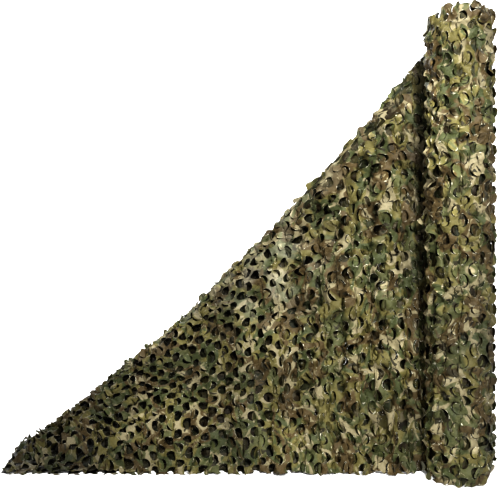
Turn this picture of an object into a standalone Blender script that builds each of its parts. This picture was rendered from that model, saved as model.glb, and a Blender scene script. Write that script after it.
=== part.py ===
# Leaf-cut camouflage net: a roll that stands on its end, with the loose end of the net drawn out
# over the floor, leaning back to a slanting fold and turned over it.
# Metres, +Z up, origin at the middle of the roll's lower end. The loose end runs towards -X.
import math
import random

import bmesh
import bpy
import numpy as np
from mathutils import Vector
from mathutils.geometry import delaunay_2d_cdt

NET_WIDTH = 1.5          # selvedge to selvedge, which is the roll's height
CELL = 0.0625            # one repeat of the leaf cuts, a leaf to each side
SEED = 11

# the wound part; a turn is a share of one time round, from the back towards -X
ROLL_RADIUS = 0.103      # just after the loose end leaves
WRAP_RISE = 0.003        # one more layer of net for each turn
HALF_CELLS_ROUND = 22    # half repeats round the roll
LEAF_RISE = 0.013        # how far a curled leaf stands off
LEAF_SINK = 0.006        # depth of the cuts between leaves
LEAVES_FROM = (0.13, 0.22)       # the leaves fade in where the loose end no longer lies on them
LEAVES_TO = (0.85, 0.92)         # and fade out under the loose end
END_TURN_IN = 0.010      # both ends are a little narrower
END_RAGGED = (-0.006, 0.004)     # the upper end's selvedges are uneven
SHOULDER_DROP = 0.030    # the outer turn sags beside the loose end
SHOULDER_AT = 0.26
SHOULDER_SPREAD = 0.11
END_HOLLOW = 0.012       # the upper end is wound a little lower inside
END_RING = 0.030         # width of each ring of faces on the upper end

# the loose end, in the flat net: s from the roll, t up from the lower selvedge
LOOSE_LENGTH = 1.625
SHEET_THICK = 0.003
SEAT_GAP = 0.0008        # between the loose end's inner face and the turn below
START_GAP = 0.0025       # between the loose end and the step it leaves from
EDGE_SCALLOP = 0.005     # cuts that run out through an edge leave it scalloped
HOLE_PITCH = 2 * CELL
HOLE_RADIUS = 0.031
HOLE_SIZES = (0.86, 1.04)
HOLE_WANDER = 0.003
HOLE_FIRST = (0.18, 0.29)        # first cut's centre, in pitches
HOLE_STAGGER = (0.47, 0.5)       # from a cut whose leaf turns one way to the next, in pitches
HOLE_ARC = math.radians(120)     # half of the round side; the leaf's root closes the rest
HOLE_CORNERS = 6

# the loose end, as it stands
HEM_TOUCH = 0.066        # the lower selvedge stays on the roll this far round
HEM_EASE = 0.012         # softness of its bend on to the floor line
FLOOR_RUN = 1.494        # from the roll's axis to the far corner
FLOOR_Y = 0.035          # line of the lower selvedge on the floor
RIDGE_REACH = 1.52       # where the slanting fold would meet the floor
RIDGE_CURVE = 1.18       # above 1, the fold sags below a straight line
RIDGE_SAG = 0.024        # further sag of its upper part
RIDGE_RISE = 0.024       # and a slight swell before the tip
RIDGE_RISE_FROM = 1.02
RIDGE_SHEAR = 0.05       # the fold runs ahead of the hem in the middle
RIDGE_BACK = 0.42        # how far the fold stands behind the roll
RIDGE_TURN = 0.50        # the distance in which it goes back
EDGE_BOW = 0.028         # the free edge bows out on the floor
FOLD_AT_TIP = 0.45       # flat height of the fold at the free edge
FOLD_CLIMB = 0.77        # what it gains on the way back to the roll
FOLD_STEEP = 0.28        # and the steep last rise beside the roll
FOLD_STEEP_RUN = 0.12
FOLD_ROUND = 0.055       # size of the rounding over the fold
FRONT_SOFT = 0.02        # the front leg bends a little from straight down the leaf
BACK_GATHER = 0.80       # the leaf behind hangs this much shorter than it is cut
BACK_LEAN = 6.0          # degrees from plumb, in the middle
BACK_LEAN_ROLL = 12.0    # more beside the roll
BACK_LEAN_TIP = 66.0     # more towards the tip, where it lies down
CREASE_PITCH = 0.135     # upright creases near the roll
CREASE_DEPTH = 0.007
CREASE_LEAST = 0.002
HANG_PITCH = 0.21        # soft folds that hang behind
HANG_DEPTH = 0.016


def smooth_step(x, low, high):
    u = np.clip((x - low) / (high - low), 0.0, 1.0)
    return u * u * (3.0 - 2.0 * u)


def arch(x):
    """A half wave: 0 at 0 and at 1, 1 in the middle, and 0 outside."""
    return np.sin(np.pi * np.clip(x, 0.0, 1.0))


def unit(v):
    return v / np.linalg.norm(v, axis=-1, keepdims=True)


def seat_radius():
    """Radius at which the loose end's middle surface lies on the roll."""
    return ROLL_RADIUS + SEAT_GAP + SHEET_THICK / 2


def run_out(s):
    """Distance from the roll's axis along the floor."""
    return START_GAP + s * FLOOR_RUN / LOOSE_LENGTH


def fold_height(s):
    """Flat height of the slanting fold: steep beside the roll, then an even slope to the tip."""
    steep = FOLD_STEEP * np.exp(-s / FOLD_STEEP_RUN)
    return FOLD_AT_TIP + FOLD_CLIMB * (1.0 - s / LOOSE_LENGTH) + steep


def hem_line(s):
    """The lower selvedge: round the roll, off it at a tangent, and on to its line on the floor."""
    run = run_out(s)
    skin = seat_radius()
    leave = math.sqrt(skin * skin - HEM_TOUCH * HEM_TOUCH)
    tangent = leave - HEM_TOUCH / leave * (run - HEM_TOUCH) - FLOOR_Y
    eased = FLOOR_Y + 0.5 * (tangent + np.sqrt(tangent * tangent + HEM_EASE * HEM_EASE))
    circle = np.sqrt(np.maximum(skin * skin - run * run, 0.0))
    y = np.where(run < HEM_TOUCH, circle, eased)
    return np.stack([-run, y, np.zeros_like(s)], axis=-1)


def ridge_line(s):
    """The slanting fold in the air, from the roll's upper end to the floor at the tip."""
    run = run_out(s) + RIDGE_SHEAR * arch(s / LOOSE_LENGTH)
    y = seat_radius() + RIDGE_BACK * (1.0 - np.exp(-((run / RIDGE_TURN) ** 2)))
    z = NET_WIDTH * np.clip(1.0 - run / RIDGE_REACH, 0.0, None) ** RIDGE_CURVE
    z += RIDGE_RISE * arch(2.0 * (run - RIDGE_RISE_FROM)) - RIDGE_SAG * arch(run)
    return np.stack([-run, y, z], axis=-1)


def front_leaf(s, t):
    """Straight lines from the hem to the fold; the free edge bows out between them."""
    up = t / fold_height(s)
    hem = hem_line(s)
    place = hem + up[:, None] * (ridge_line(s) - hem)
    place[:, 0] -= EDGE_BOW * arch(up) * smooth_step(s, 1.2, LOOSE_LENGTH)
    return place


def turned_leaf(foot, past):
    """A leg down the front and a leg down the back, square to the fold, with a round turn between.

    foot is where the line square to the fold meets it, past the distance beyond the fold."""
    step = 0.01
    along = unit(ridge_line(foot + step) - ridge_line(foot - step))
    ridge = ridge_line(foot)
    plumb = np.array([0.0, 0.0, -1.0])
    down = unit(plumb - (along @ plumb)[:, None] * along)
    back = np.cross(down, along)
    back = back * np.sign(back[:, 1:2])
    to_hem = hem_line(foot) - ridge
    to_hem = to_hem - np.sum(to_hem * along, axis=1, keepdims=True) * along
    front_leg = unit(to_hem + FRONT_SOFT * down)
    lean = BACK_LEAN + BACK_LEAN_ROLL * (1.0 - smooth_step(foot, 0.0, 0.5))
    lean = np.radians(lean + BACK_LEAN_TIP * smooth_step(foot, 0.75, LOOSE_LENGTH))[:, None]
    back_leg = BACK_GATHER * (np.cos(lean) * down + np.sin(lean) * back)
    reach = np.sqrt(past * past + FOLD_ROUND * FOLD_ROUND)
    before = 0.5 * (reach - past)[:, None]
    after = 0.5 * (reach + past)[:, None]
    apex = 0.5 * FOLD_ROUND * (front_leg + back_leg)
    return ridge - apex + before * front_leg + after * back_leg


def creases(s, t, foot, past):
    """Depth of the soft folds: upright ones near the roll, longer ones hanging behind."""
    depth = CREASE_DEPTH * smooth_step(s, 0.06, 0.25) * (1.0 - smooth_step(s, 0.55, 1.1)) + CREASE_LEAST
    depth = depth * smooth_step(-past, 0.02, 0.20) * smooth_step(s, 0.06, 0.20)
    upright = depth * np.sin(2 * np.pi * s / CREASE_PITCH + 1.3 * np.sin(2.1 * t + 0.6) + 0.4)
    hanging = HANG_DEPTH * smooth_step(past, 0.05, 0.45) * np.sin(2 * np.pi * foot / HANG_PITCH + 2.2 * past)
    return upright + hanging


def drape(s, t):
    """Middle surface of the loose end: (s, t) of the flat net to its place in the air."""
    slope = FOLD_CLIMB / LOOSE_LENGTH
    square = 1.0 / math.sqrt(1.0 + slope * slope)
    past = (t - fold_height(s)) * square
    foot = s - past * slope * square
    front = front_leaf(s, t)
    near = smooth_step(past, -0.30, -0.03) * smooth_step(s, 0.0, 0.35)
    near = np.where(past > 0.0, 1.0, near)[:, None]
    place = front + near * (turned_leaf(foot, past) - front)
    place[:, 1] += creases(s, t, foot, past)
    place[:, 2] = np.maximum(place[:, 2], SHEET_THICK / 2)
    return place


def outline_corners():
    """The loose end's edge, anticlockwise, with close points where it follows the roll."""
    across = round(LOOSE_LENGTH / CELL)
    tall = round(NET_WIDTH / CELL)
    seat = [0.25 * CELL, 0.5 * CELL, 0.75 * CELL]
    lower = [(s, 0.0) for s in [0.0] + seat] + [(k * CELL, 0.0) for k in range(1, across)]
    swing = [EDGE_SCALLOP * (k % 2 * 2 - 1) * (k > 0) for k in range(tall)]
    free = [(LOOSE_LENGTH + swing[k], k * CELL) for k in range(tall)]
    upper = [(LOOSE_LENGTH - k * CELL, NET_WIDTH - EDGE_SCALLOP * (k % 2)) for k in range(across)]
    upper += [(s, NET_WIDTH) for s in reversed(seat)]
    start = [(0.0, NET_WIDTH - k * CELL) for k in range(tall)]
    return lower + free + upper + start


def cut_corners(s, t, radius, side):
    """A leaf cut: its round side in six corners, closed by the straight root of the leaf."""
    turns = [HOLE_ARC * (2 * k / (HOLE_CORNERS - 1) - 1) + math.pi * side for k in range(HOLE_CORNERS)]
    return [(s + radius * math.cos(turn), t + radius * math.sin(turn)) for turn in turns]


def flat_pattern():
    """The flat net as triangles: its edge, and staggered leaf cuts at twice the real pitch."""
    rng = random.Random(SEED)
    points = []
    rims = []            # which cut's rim a point is on; -1 for the net's edge, -2 for a free point
    loops = []

    def add_loop(corners, rim):
        first = len(points)
        points.extend(Vector(corner) for corner in corners)
        rims.extend([rim] * len(corners))
        loops.extend((first + k, first + (k + 1) % len(corners)) for k in range(len(corners)))

    def add_points(places):
        points.extend(Vector(place) for place in places)
        rims.extend([-2] * len(places))

    add_loop(outline_corners(), -1)
    columns = round(LOOSE_LENGTH / HOLE_PITCH)
    rows = round(NET_WIDTH / HOLE_PITCH)
    rim = 0
    for column in range(columns):
        for half_row in range(2 * rows - 1):
            row, side = divmod(half_row, 2)
            s = (column + HOLE_FIRST[0] + HOLE_STAGGER[0] * side) * HOLE_PITCH
            t = (row + HOLE_FIRST[1] + HOLE_STAGGER[1] * side) * HOLE_PITCH
            s += rng.uniform(-HOLE_WANDER, HOLE_WANDER)
            t += rng.uniform(-HOLE_WANDER, HOLE_WANDER)
            radius = HOLE_RADIUS * rng.uniform(*HOLE_SIZES)
            if column == 0:
                add_points([(share * CELL, t) for share in (0.25, 0.5, 0.75, 1.1, 1.5)])
                continue
            add_loop(cut_corners(s, t, radius, side), rim)
            rim += 1
            if row < rows - 1:
                add_points([(s, t + 0.5 * HOLE_PITCH)])
    flat, _, faces, origins, _, _ = delaunay_2d_cdt(points, loops, [], 1, 1e-6)
    rim_of = [rims[origin[0]] for origin in origins]
    owners = [{rim_of[v] for v in face} for face in faces]
    kept = [tuple(face) for face, rim in zip(faces, owners) if len(rim) > 1 or min(rim) < 0]
    return flat, kept


def net_material(name, colour, roughness):
    material = bpy.data.materials.new(name)
    material.use_nodes = True
    shader = material.node_tree.nodes["Principled BSDF"]
    shader.inputs["Base Color"].default_value = (*colour, 1.0)
    shader.inputs["Roughness"].default_value = roughness
    shader.inputs["Metallic"].default_value = 0.0
    return material


def add_object(name, mesh, material, collection):
    mesh.materials.append(material)
    obj = bpy.data.objects.new(name, mesh)
    collection.objects.link(obj)


def build_sheet(collection, material):
    flat, faces = flat_pattern()
    s = np.array([v[0] for v in flat])
    t = np.array([v[1] for v in flat])
    mesh = bpy.data.meshes.new("net_sheet_middle")
    mesh.from_pydata(drape(s, t).tolist(), [], faces)
    mesh.validate()
    middle = bpy.data.objects.new("net_sheet_middle", mesh)
    collection.objects.link(middle)
    shell = middle.modifiers.new("thickness", "SOLIDIFY")
    shell.thickness = SHEET_THICK
    shell.offset = 0.0
    shell.use_rim = True
    bpy.context.view_layer.update()
    solid = bpy.data.meshes.new_from_object(middle.evaluated_get(bpy.context.evaluated_depsgraph_get()))
    bpy.data.objects.remove(middle)
    # the hem and the lying part rest level on the floor
    for vertex in solid.vertices:
        if vertex.co.z < 0.55 * SHEET_THICK:
            vertex.co.z = 0.0
    add_object("net_sheet", solid, material, collection)


def roll_point(column, row, rows, rng):
    """A point of the roll's skin: a slow spiral with a curled leaf at every other half repeat."""
    turn = column / HALF_CELLS_ROUND
    angle = 2 * math.pi * (turn + 0.25)
    height = NET_WIDTH * row / rows
    even = column % HALF_CELLS_ROUND
    leaf = (row % 4 == 0 and even % 2 == 0) or (row % 4 == 2 and even % 2 == 1)
    relief = LEAF_RISE * rng.uniform(0.55, 1.0) if leaf else -LEAF_SINK * rng.uniform(0.3, 1.0)
    relief *= float(smooth_step(turn, *LEAVES_FROM) * (1.0 - smooth_step(turn, *LEAVES_TO)))
    end = max(0.0, 1.0 - min(row, rows - row) / 2)
    radius = ROLL_RADIUS + WRAP_RISE * turn + relief - END_TURN_IN * end
    if row == rows:
        sag = math.exp(-(((turn - SHOULDER_AT) / SHOULDER_SPREAD) ** 2))
        height += rng.uniform(*END_RAGGED) - SHOULDER_DROP * sag
    return Vector((radius * math.cos(angle), radius * math.sin(angle), height))


def build_roll(collection, material):
    rng = random.Random(SEED)
    rows = 4 * round(NET_WIDTH / CELL)
    columns = HALF_CELLS_ROUND + 1          # the last strip is the step where the outer turn ends
    skin = [[roll_point(column, row, rows, rng) for row in range(rows + 1)] for column in range(columns)]
    skin.append(skin[0])
    bm = bmesh.new()
    bmesh.ops.create_grid(bm, x_segments=columns, y_segments=rows, size=0.5)
    for vertex in bm.verts:
        column = round((vertex.co.x + 0.5) * columns)
        row = round((vertex.co.y + 0.5) * rows)
        vertex.co = skin[column][row]
    bmesh.ops.remove_doubles(bm, verts=bm.verts, dist=0.00005)
    bmesh.ops.holes_fill(bm, edges=[e for e in bm.edges if e.is_boundary], sides=0)
    upper = [f for f in bm.faces if len(f.verts) > 4 and f.calc_center_median().z > NET_WIDTH / 2]
    for _ in range(2):
        bmesh.ops.inset_region(bm, faces=upper, thickness=END_RING, depth=0.0)
        for vertex in {v for face in upper for v in face.verts}:
            vertex.co.z = NET_WIDTH - END_HOLLOW
    bmesh.ops.triangulate(bm, faces=bm.faces)
    bmesh.ops.recalc_face_normals(bm, faces=bm.faces)
    mesh = bpy.data.meshes.new("net_roll")
    bm.to_mesh(mesh)
    bm.free()
    add_object("net_roll", mesh, material, collection)


def main():
    for obj in list(bpy.data.objects):
        bpy.data.objects.remove(obj, do_unlink=True)
    collection = bpy.data.collections.new("camouflage_net")
    bpy.context.scene.collection.children.link(collection)
    build_roll(collection, net_material("wound_net", (0.24, 0.23, 0.13), 0.85))
    build_sheet(collection, net_material("loose_net", (0.16, 0.16, 0.09), 0.85))


main()
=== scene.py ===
import math

import bpy
import numpy as np
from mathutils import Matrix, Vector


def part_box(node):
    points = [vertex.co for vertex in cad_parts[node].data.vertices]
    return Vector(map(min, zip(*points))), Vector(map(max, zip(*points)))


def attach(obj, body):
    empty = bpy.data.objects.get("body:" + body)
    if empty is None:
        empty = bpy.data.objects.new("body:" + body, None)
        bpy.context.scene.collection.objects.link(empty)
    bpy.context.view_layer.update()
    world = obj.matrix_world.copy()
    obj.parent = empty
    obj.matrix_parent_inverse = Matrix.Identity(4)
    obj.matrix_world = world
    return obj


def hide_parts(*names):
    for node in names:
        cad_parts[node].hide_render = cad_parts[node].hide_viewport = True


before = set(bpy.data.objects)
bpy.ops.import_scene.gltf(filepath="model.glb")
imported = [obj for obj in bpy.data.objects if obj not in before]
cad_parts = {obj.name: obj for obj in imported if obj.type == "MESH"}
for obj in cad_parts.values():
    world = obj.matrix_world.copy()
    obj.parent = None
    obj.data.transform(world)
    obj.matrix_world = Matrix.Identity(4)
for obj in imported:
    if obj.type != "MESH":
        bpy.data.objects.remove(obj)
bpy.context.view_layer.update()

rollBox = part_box("net_roll")
print("frame loaded, roll", round(rollBox[1].z - rollBox[0].z, 3), "m tall")

net = {
    "width": 1.5,  # selvedge to selvedge
    "cell": 0.0625,  # one repeat of the cuts: a leaf to each side
    "cutRadius": 0.290,  # of a cell
    "sizeSpread": 0.04,  # how unlike each other the cuts are
    "skew": 0.07,  # how far a cut is pulled out of true
    "first": (0.27, 0.29),  # first cut's centre, in cells
    "rootHalf": 55.0,  # degrees to each side: the leaf hangs on this part of its round
    "leafRows": 6,  # rows of points from its root to its tip
    "leafEnd": 171.0,  # degrees round the cut, root side first, at which the last row lies
    "leafShort": 0.85,  # a cut is drawn open, so its leaf reaches this far across it
    "leafNarrow": 0.6,  # and is narrower at the tip by this share of what it lacks in length
    "tint": 0.34,  # how unlike in lightness the leaves are
    "tipLight": 0.35,  # a leaf's outer half is up to this much lighter
    "paleTurn": (70.0, 105.0),  # degrees a leaf has turned when its reverse comes to show: a range
    "edgeFree": (0.3, 0.2),  # no leaf hangs this near the cloth's start, or its other edges, in cells
    "leastFace": 2e-7,  # square metres: smaller faces are dropped
    "weldGrid": 2e4,  # points that share a place on a grid of so many to the metre are joined
    "floorGap": 0.0008,  # no point lies lower than this
}


def smoothStep(x, low, high):
    # 0 below low, 1 above high, and u * u * (3 - 2 * u) of the share between them
    u = np.clip((x - low) / (high - low), 0.0, 1.0)
    return u * u * (3.0 - 2.0 * u)


def fadeOut(x, low, high):
    # the same the other way: 1 below low, 0 above high
    return 1.0 - smoothStep(x, low, high)


def within(x, begin, end):
    # 1 between two ranges, 0 outside them
    return smoothStep(x, *begin) * fadeOut(x, *end)


def bell(x, height, middle, spread):
    # a bell curve: its height at the middle, 1/e of that at one spread to each side
    return height * np.exp(-(((x - middle) / spread) ** 2))


def arch(x):
    # a half wave: 0 at 0 and at 1, 1 in the middle, 0 outside
    return np.sin(np.pi * np.clip(x, 0.0, 1.0))


def unit(v):
    return v / np.maximum(np.linalg.norm(v, axis=-1, keepdims=True), 1e-12)


def crossingWaves(s, t, height, seed, shortest, longest):
    # uneven cloth: a dozen sine waves of unlike length and direction, about so high in all
    waves = 12
    rng = np.random.default_rng(seed)
    total = np.zeros_like(s)
    for _ in range(waves):
        toward, phase = rng.uniform(0.0, 2 * np.pi, 2)
        pitch = rng.uniform(shortest, longest)
        total += np.sin(2 * np.pi * (s * math.cos(toward) + t * math.sin(toward)) / pitch + phase)
    return height * (total / math.sqrt(0.5 * waves))


def offSurface(surface, place, lift, outward):
    # the surface's point plus the lift along its normal, from small differences in s and t
    step = 0.002
    s, t = place[:, 0], place[:, 1]
    middle = surface(s, t)
    alongS = surface(s + step, t) - surface(s - step, t)
    alongT = surface(s, t + step) - surface(s, t - step)
    normal = unit(np.cross(alongT, alongS)) * outward
    return middle + lift[:, None] * normal


def roundAxis(radius, angle, z):
    return np.stack([radius * np.cos(angle), radius * np.sin(angle), z], axis=-1)


def between(grid, after):
    # four-sided faces between two grids of point numbers, the second one step on from the first
    return np.stack([grid[:, :-1], after[:, :-1], after[:, 1:], grid[:, 1:]], axis=-1)


def meshFrom(name, points, faces, attributes):
    # shared points are joined, unused ones dropped; the place on the flat net becomes the UV map
    points[:, 2] = np.maximum(points[:, 2], net["floorGap"])
    onGrid = np.round(points * net["weldGrid"])
    _, first, joined = np.unique(onGrid, axis=0, return_index=True, return_inverse=True)
    faces = joined.reshape(-1)[faces]
    used, faces = np.unique(faces, return_inverse=True)
    faces = faces.reshape(-1, 4)
    kept = first[used]
    fourCorners = (np.diff(np.sort(faces, axis=1), axis=1) > 0).all(axis=1)
    faces = faces[fourCorners]
    mesh = bpy.data.meshes.new(name)
    mesh.from_pydata(points[kept].tolist(), [], faces.tolist())
    for key in ("shade", "pale", "rim"):
        layer = mesh.attributes.new(key, "FLOAT", "POINT")
        layer.data.foreach_set("value", attributes[key][kept].astype(np.float32))
    corner = np.zeros(len(mesh.loops), np.int32)
    mesh.loops.foreach_get("vertex_index", corner)
    uv = mesh.uv_layers.new(name="flatNet")
    flat = attributes["uv"] / printed["uvSpan"]
    uv.data.foreach_set("uv", flat[kept][corner].astype(np.float32).ravel())
    mesh.shade_smooth()
    mesh.update()
    mesh.materials.append(netCloth)
    obj = bpy.data.objects.new(name, mesh)
    bpy.context.scene.collection.objects.link(obj)
    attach(obj, "root")
    print(name, len(mesh.vertices), "points,", 2 * len(mesh.polygons), "triangles")
    return obj


# the printed cloth: blobs of each ink laid over the last, then the pale reverse with painted sheen,
# painted glints, painted light and shade, and weave

printed = {
    "uvSpan": 4.0,  # metres of cloth across the UV square
    "khaki": (0.081, 0.071, 0.026),  # the ground
    "tan": (0.146, 0.127, 0.076),
    "green": (0.037, 0.042, 0.0170),
    "greyGreen": (0.053, 0.055, 0.0235),
    "brown": (0.050, 0.036, 0.0155),
    "dark": (0.020, 0.0175, 0.009),
    # the cloth's pale reverse; the same colour lays the painted glints and the painted sheen
    "reverseAndPaintedLight": (0.38, 0.365, 0.285),
    # in the order of printing: ink, shift and turn of its noise, scale, detail, and where it is cut
    "inks": (
        ("greyGreen", (3.1, 1.7, 0.4), 9.0, 4.0, 0.50, 0.57),
        ("green", (9.3, 4.2, 1.1), 12.0, 4.0, 0.53, 0.58),
        ("brown", (5.5, 8.8, 2.0), 11.0, 4.0, 0.53, 0.58),
        ("tan", (1.2, 6.1, 2.7), 16.0, 3.5, 0.58, 0.63),
        ("dark", (7.7, 2.9, 0.9), 42.0, 2.0, 0.64, 0.70),
        ("tan", (2.6, 5.3, 1.6), 50.0, 2.0, 0.67, 0.73),
    ),
    "blobRough": (0.45, 0.6),  # roughness and distortion of that noise
    "reverseAndSheenShare": 0.4,  # how far the pale reverse and the painted sheen show where they show most
    "glints": ((4.4, 7.1, 0.3), 80.0, 1.0, 0.60, 0.74),  # where painted glints show on rims, given as the inks are
    "glintRim": (0.6, 0.95),  # how near the rim: a range
    "rimPaintedLight": (0.8, 1.35),  # painted highlight: a cut edge's outermost part is paler: from where, how much
    "roughness": 0.6,
    "gloss": 0.16,
    "weaveScale": 160.0,
    "weaveBump": (0.35, 0.0004),  # strength, height in metres
    "crumples": (55.0, 3.0),  # scale, detail
    "crumpleBump": (0.8, 0.006),
}


def node(tree, kind, place, inputs, **values):
    # a new node: an input that is another node's output is linked, any other is set; returns its output
    made = tree.nodes.new("ShaderNode" + kind)
    made.location = place
    for key, value in values.items():
        setattr(made, key, value)
    for key, value in inputs.items():
        if isinstance(value, bpy.types.NodeSocket):
            tree.links.new(value, made.inputs[key])
        else:
            made.inputs[key].default_value = value
    own = [out for out in made.outputs if out.enabled]
    return made.outputs["Fac"] if "Fac" in made.outputs else own[0]


def blotch(tree, cloth, shift, scale, detail, low, high):
    # noise cut at a threshold: soft-edged blobs, turned and shifted for each colour
    row = shift[1] * 10
    place = {"Vector": cloth, "Location": shift, "Rotation": (0.0, 0.0, shift[2])}
    blobs = {"Vector": node(tree, "Mapping", (-900, row), place), "Scale": scale, "Detail": detail}
    blobs["Roughness"], blobs["Distortion"] = printed["blobRough"]
    noise = node(tree, "TexNoise", (-700, row), blobs, noise_dimensions="2D")
    cut = {"Value": noise, "From Min": low, "From Max": high}
    return node(tree, "MapRange", (-500, row), cut, interpolation_type="SMOOTHSTEP")


def over(tree, below, share, colour):
    # one colour laid over what is below it, by its share
    colours = {"Factor": share, "A": below, "B": (*colour, 1.0)}
    return node(tree, "Mix", (-300, 0), colours, data_type="RGBA")


def printedCloth(name):
    material = bpy.data.materials.new(name)
    material.use_nodes = True
    tree = material.node_tree
    shader = tree.nodes["Principled BSDF"]
    uv = node(tree, "UVMap", (-1300, 0), {}, uv_map="flatNet")
    span = (printed["uvSpan"], printed["uvSpan"], 1.0)
    flat = node(tree, "Mapping", (-1100, 0), {"Scale": span, "Vector": uv})
    colour = (*printed["khaki"], 1.0)
    for ink, *blobs in printed["inks"]:
        colour = over(tree, colour, blotch(tree, flat, *blobs), printed[ink])

    # the pale reverse where a leaf has turned over, with painted sheen laid the same way
    turned = node(tree, "Attribute", (-700, -300), {}, attribute_name="pale")
    share = {1: printed["reverseAndSheenShare"], 0: turned}
    reverseAndPaintedSheen = node(tree, "Math", (-500, -300), share, operation="MULTIPLY")
    colour = over(tree, colour, reverseAndPaintedSheen, printed["reverseAndPaintedLight"])

    # painted glints: here and there a pale spot on a cut edge, in the reverse's colour, noise cut at a
    # threshold, on rims only
    rim = node(tree, "Attribute", (-700, -800), {}, attribute_name="rim")
    low, high = printed["glintRim"]
    near = {"From Min": low, "From Max": high, "Value": rim}
    onRim = node(tree, "MapRange", (-500, -400), near, interpolation_type="SMOOTHSTEP")
    both = {0: onRim, 1: blotch(tree, flat, *printed["glints"])}
    glint = node(tree, "Math", (-400, -400), both, operation="MULTIPLY")
    colour = over(tree, colour, glint, printed["reverseAndPaintedLight"])

    # each leaf is a little lighter or darker, painted shade makes what lies under darker, and a cut edge
    # is paler: a painted highlight
    shade = node(tree, "Attribute", (-700, -600), {}, attribute_name="shade")
    low, lighter = printed["rimPaintedLight"]
    edge = {"From Min": low, "To Min": 1.0, "To Max": lighter, "Value": rim}
    rimPaintedLight = node(tree, "MapRange", (-500, -800), edge, interpolation_type="SMOOTHSTEP")
    edged = node(tree, "Math", (-200, -600), {0: shade, 1: rimPaintedLight}, operation="MULTIPLY")
    scaled = node(tree, "VectorMath", (-100, 0), {0: colour, "Scale": edged}, operation="SCALE")

    # plain weave: two crossed waves, multiplied; the crumples of soft cloth are a noise below it
    thread = {"Scale": printed["weaveScale"], "Vector": flat}
    weave = node(tree, "TexWave", (-500, -900), thread, bands_direction="X")
    cross = node(tree, "TexWave", (-500, -1100), thread, bands_direction="Y")
    threads = node(tree, "Math", (-300, -1000), {0: weave, 1: cross}, operation="MULTIPLY")
    scale, detail = printed["crumples"]
    crumples = {"Scale": scale, "Detail": detail, "Vector": flat}
    crumple = node(tree, "TexNoise", (-500, -1300), crumples, noise_dimensions="2D")
    strength, height = printed["weaveBump"]
    bump = node(tree, "Bump", (-100, -900), {"Strength": strength, "Distance": height, "Height": threads})
    strength, height = printed["crumpleBump"]
    soft = {"Strength": strength, "Distance": height, "Height": crumple, "Normal": bump}
    tree.links.new(scaled, shader.inputs["Base Color"])
    tree.links.new(node(tree, "Bump", (80, -900), soft), shader.inputs["Normal"])
    shader.inputs["Roughness"].default_value = printed["roughness"]
    shader.inputs["Specular IOR Level"].default_value = printed["gloss"]
    return material


netCloth = printedCloth("printedNetCloth")
print("cloth ready")


# the net itself: a centred lattice of cuts, each a D with its leaf hinged on the straight side


def cutLattice(columns, rows, first, rng):
    # centres of the cuts that face one way, and of those between them that face the other
    cell = net["cell"]
    i, j = np.meshgrid(np.arange(-1, columns + 1), np.arange(-1, rows + 1), indexing="ij")
    i, j = i.ravel(), j.ravel()
    s = np.concatenate([i + first[0], i + first[0] + 0.5]) * cell
    t = np.concatenate([j + first[1], j + first[1] + 0.5]) * cell
    facing = np.concatenate([np.ones(len(i)), -np.ones(len(i))])
    size = net["cutRadius"] * cell * (1.0 + net["sizeSpread"] * rng.uniform(-1.0, 1.0, len(s)))
    return s, t, facing, size


def pulledOutOfTrue(u, v, skew, hold):
    # each cut is stretched one way, narrowed the other and sheared
    # hold is 1 on its rim and 0 at the cell's edge
    stretch, shear = skew[:, 0, None, None] * hold, skew[:, 1, None, None] * hold
    return u * (1.0 + stretch) + shear * v, v * (1.0 - stretch)


# points round a cell's diamond, in degrees from the tip of the leaf, and those round its cut;
# the first half of each is mirrored for the other half, and points 5 to 11 lie on the leaf's root
diamondTurn = np.array([0.0, 22.5, 45.0, 67.5, 90.0, 120.0, 135.0, 150.0, 180.0])
knownTurn = [0.0, 144.0 - 0.8 * net["rootHalf"], 180.0 - net["rootHalf"], 180.0]
roundTurn = np.interp(diamondTurn, [0.0, 90.0, 120.0, 180.0], knownTurn)
diamondTurn = np.radians(np.concatenate([diamondTurn, 360.0 - diamondTurn[-2:0:-1]]))
roundTurn = np.radians(np.concatenate([roundTurn, 360.0 - roundTurn[-2:0:-1]]))
onRoot = roundTurn[5:12]


def rimWave(relief, turn):
    # how a cut's rim rises and falls: one wave round it, and a second of half the length
    once, twice, phase = relief[:, 0, None], relief[:, 1, None], relief[:, 2, None]
    return once * np.cos(turn) + twice * np.cos(2 * turn + phase)


def onCloth(s, t, facing, u, v):
    # from places round each cut, with the leaf's tip along u, to places on the net
    return np.stack([s[:, None, None] + facing[:, None, None] * u, t[:, None, None] + v], axis=-1)


def ribbonRings(s, t, facing, size, relief, skew):
    # round each cut: the D-shaped rim, a ring between, and the diamond it shares with its neighbours
    root = math.radians(net["rootHalf"])
    chord = math.cos(root) / np.maximum(-np.cos(roundTurn), 1e-6)
    rim = size[:, None] * np.minimum(np.where(np.cos(roundTurn) < 0.0, chord, 1.0), 1.0)
    edge = 0.5 * net["cell"] / (np.abs(np.cos(diamondTurn)) + np.abs(np.sin(diamondTurn)))
    hold = np.array([1.0, 0.5, 0.0])[:, None]
    middle = -0.5 * (1.0 - math.cos(root)) * size[:, None]
    rimU = (rim * np.cos(roundTurn) + middle)[:, None]
    rimV = (rim * np.sin(roundTurn))[:, None]
    u = hold * rimU + (1.0 - hold) * edge * np.cos(diamondTurn)
    v = hold * rimV + (1.0 - hold) * edge * np.sin(diamondTurn)
    u, v = pulledOutOfTrue(u, v, skew, hold)
    lift = rimWave(relief, roundTurn)[:, None, :] * hold ** 1.5
    flat = onCloth(s, t, facing, u, v)
    return flat, lift


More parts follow.
